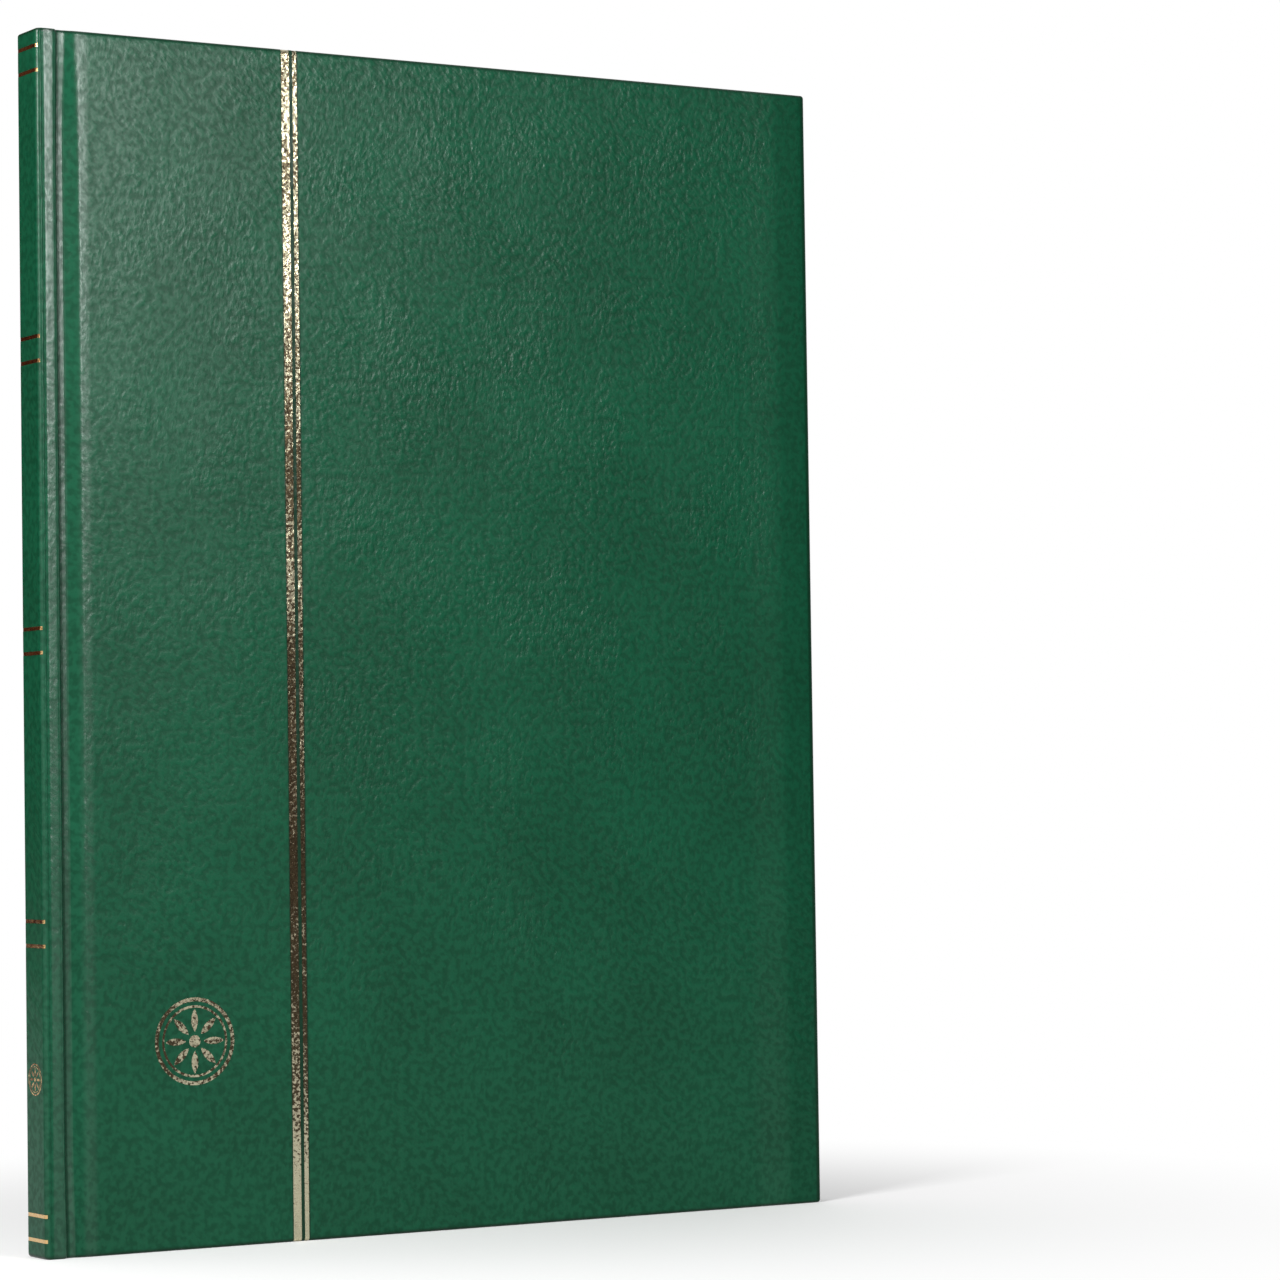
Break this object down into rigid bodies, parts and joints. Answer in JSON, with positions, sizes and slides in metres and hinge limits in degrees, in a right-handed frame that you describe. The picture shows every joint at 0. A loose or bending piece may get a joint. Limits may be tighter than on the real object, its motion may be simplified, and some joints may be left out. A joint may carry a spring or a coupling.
{
  "type": "stamp album",
  "caption": "Upright stockbook for stamps: leatherette case with square spine and French grooves, opening flat on linen-hinged black leaves with clear film pockets.",
  "frame": {"origin": "middle of the foot: centre of the closed album's box at the level of its tail edge", "axes": "+Z from tail to head, +X from the spine to the fore-edge, +Y from the front cover to the back cover"},
  "size_m": [0.23, 0.012, 0.305],
  "materials": {
    "leatherette": "pebbled, satin",
    "board": "matt",
    "endpaper": "matt",
    "lining": "matt",
    "stub_card": "matt",
    "filler_card": "matt",
    "gold_foil": "satin",
    "page_card": "matt",
    "clear_film": "gloss",
    "linen": "matt",
    "glassine": "satin"
  },
  "bodies": {
    "back_cover": {"back_board": "board", "back_leatherette": "leatherette", "back_pastedown": "endpaper"},
    "spine": {"spine_board": "board", "spine_leatherette": "leatherette", "spine_lining": "lining", "leaf_stubs": "stub_card", "interleaf_stubs": "stub_card", "shoulder_fillers": "filler_card", "spine_gold_fillets": "gold_foil", "spine_rosette": "gold_foil"},
    "front_cover": {"front_board": "board", "front_leatherette": "leatherette", "front_pastedown": "endpaper", "cover_gold_lines": "gold_foil", "cover_rosette": "gold_foil"},
    "leaf_1": {"leaf_1_card": "page_card", "leaf_1_strips": "clear_film", "leaf_1_hinge": "linen"},
    "leaf_2": {"leaf_2_card": "page_card", "leaf_2_strips": "clear_film", "leaf_2_hinge": "linen"},
    "leaf_3": {"leaf_3_card": "page_card", "leaf_3_strips": "clear_film", "leaf_3_hinge": "linen"},
    "leaf_4": {"leaf_4_card": "page_card", "leaf_4_strips": "clear_film", "leaf_4_hinge": "linen"},
    "leaf_5": {"leaf_5_card": "page_card", "leaf_5_strips": "clear_film", "leaf_5_hinge": "linen"},
    "leaf_6": {"leaf_6_card": "page_card", "leaf_6_strips": "clear_film", "leaf_6_hinge": "linen"},
    "leaf_7": {"leaf_7_card": "page_card", "leaf_7_strips": "clear_film", "leaf_7_hinge": "linen"},
    "leaf_8": {"leaf_8_card": "page_card", "leaf_8_strips": "clear_film", "leaf_8_hinge": "linen"},
    "interleaf_1": {"interleaf_1": "glassine"},
    "interleaf_2": {"interleaf_2": "glassine"},
    "interleaf_3": {"interleaf_3": "glassine"},
    "interleaf_4": {"interleaf_4": "glassine"},
    "interleaf_5": {"interleaf_5": "glassine"},
    "interleaf_6": {"interleaf_6": "glassine"},
    "interleaf_7": {"interleaf_7": "glassine"}
  },
  "joints": [
    {"name": "spine_fold", "type": "hinge", "parent": "back_cover", "child": "spine", "pos_m": [-0.1081, 0.00402, 0.1525], "axis": [0, 0, -1], "range_deg": [0, 90]},
    {"name": "front_cover_fold", "type": "hinge", "parent": "spine", "child": "front_cover", "pos_m": [-0.1081, -0.00402, 0.1525], "axis": [0, 0, -1], "range_deg": [0, 90]},
    {"name": "leaf_1_turn", "type": "hinge", "parent": "spine", "child": "leaf_1", "pos_m": [-0.1064, -0.00306, 0.1525], "axis": [0, 0, -1], "range_deg": [0, 90]},
    {"name": "leaf_2_turn", "type": "hinge", "parent": "spine", "child": "leaf_2", "pos_m": [-0.10552, -0.00219, 0.1525], "axis": [0, 0, -1], "range_deg": [0, 90]},
    {"name": "leaf_3_turn", "type": "hinge", "parent": "spine", "child": "leaf_3", "pos_m": [-0.10465, -0.00131, 0.1525], "axis": [0, 0, -1], "range_deg": [0, 90]},
    {"name": "leaf_4_turn", "type": "hinge", "parent": "spine", "child": "leaf_4", "pos_m": [-0.10378, -0.00044, 0.1525], "axis": [0, 0, -1], "range_deg": [0, 90]},
    {"name": "leaf_5_turn", "type": "hinge", "parent": "spine", "child": "leaf_5", "pos_m": [-0.10378, 0.00044, 0.1525], "axis": [0, 0, 1], "range_deg": [0, 90]},
    {"name": "leaf_6_turn", "type": "hinge", "parent": "spine", "child": "leaf_6", "pos_m": [-0.10465, 0.00131, 0.1525], "axis": [0, 0, 1], "range_deg": [0, 90]},
    {"name": "leaf_7_turn", "type": "hinge", "parent": "spine", "child": "leaf_7", "pos_m": [-0.10552, 0.00219, 0.1525], "axis": [0, 0, 1], "range_deg": [0, 90]},
    {"name": "leaf_8_turn", "type": "hinge", "parent": "spine", "child": "leaf_8", "pos_m": [-0.1064, 0.00306, 0.1525], "axis": [0, 0, 1], "range_deg": [0, 90]},
    {"name": "interleaf_1_turn", "type": "hinge", "parent": "spine", "child": "interleaf_1", "pos_m": [-0.10596, -0.00263, 0.1525], "axis": [0, 0, -1], "range_deg": [0, 90]},
    {"name": "interleaf_2_turn", "type": "hinge", "parent": "spine", "child": "interleaf_2", "pos_m": [-0.10509, -0.00175, 0.1525], "axis": [0, 0, -1], "range_deg": [0, 90]},
    {"name": "interleaf_3_turn", "type": "hinge", "parent": "spine", "child": "interleaf_3", "pos_m": [-0.10421, -0.00088, 0.1525], "axis": [0, 0, -1], "range_deg": [0, 90]},
    {"name": "interleaf_4_turn", "type": "hinge", "parent": "spine", "child": "interleaf_4", "pos_m": [-0.10334, 0, 0.1525], "axis": [0, 0, -1], "range_deg": [0, 90]},
    {"name": "interleaf_5_turn", "type": "hinge", "parent": "spine", "child": "interleaf_5", "pos_m": [-0.10421, 0.00088, 0.1525], "axis": [0, 0, 1], "range_deg": [0, 90]},
    {"name": "interleaf_6_turn", "type": "hinge", "parent": "spine", "child": "interleaf_6", "pos_m": [-0.10509, 0.00175, 0.1525], "axis": [0, 0, 1], "range_deg": [0, 90]},
    {"name": "interleaf_7_turn", "type": "hinge", "parent": "spine", "child": "interleaf_7", "pos_m": [-0.10596, 0.00263, 0.1525], "axis": [0, 0, 1], "range_deg": [0, 90]}
  ],
  "couplings": [
    {"joint": "leaf_1_turn", "follows": "front_cover_fold", "ratio": 1},
    {"joint": "leaf_2_turn", "follows": "front_cover_fold", "ratio": 0.99333},
    {"joint": "leaf_3_turn", "follows": "front_cover_fold", "ratio": 0.98667},
    {"joint": "leaf_4_turn", "follows": "front_cover_fold", "ratio": 0.98},
    {"joint": "leaf_5_turn", "follows": "spine_fold", "ratio": 0.98},
    {"joint": "leaf_6_turn", "follows": "spine_fold", "ratio": 0.98667},
    {"joint": "leaf_7_turn", "follows": "spine_fold", "ratio": 0.99333},
    {"joint": "leaf_8_turn", "follows": "spine_fold", "ratio": 1},
    {"joint": "interleaf_1_turn", "follows": "front_cover_fold", "ratio": 0.99667},
    {"joint": "interleaf_2_turn", "follows": "front_cover_fold", "ratio": 0.99},
    {"joint": "interleaf_3_turn", "follows": "front_cover_fold", "ratio": 0.98333},
    {"joint": "interleaf_4_turn", "follows": "front_cover_fold", "ratio": 0.97667},
    {"joint": "interleaf_5_turn", "follows": "spine_fold", "ratio": 0.98333},
    {"joint": "interleaf_6_turn", "follows": "spine_fold", "ratio": 0.99},
    {"joint": "interleaf_7_turn", "follows": "spine_fold", "ratio": 0.99667}
  ]
}
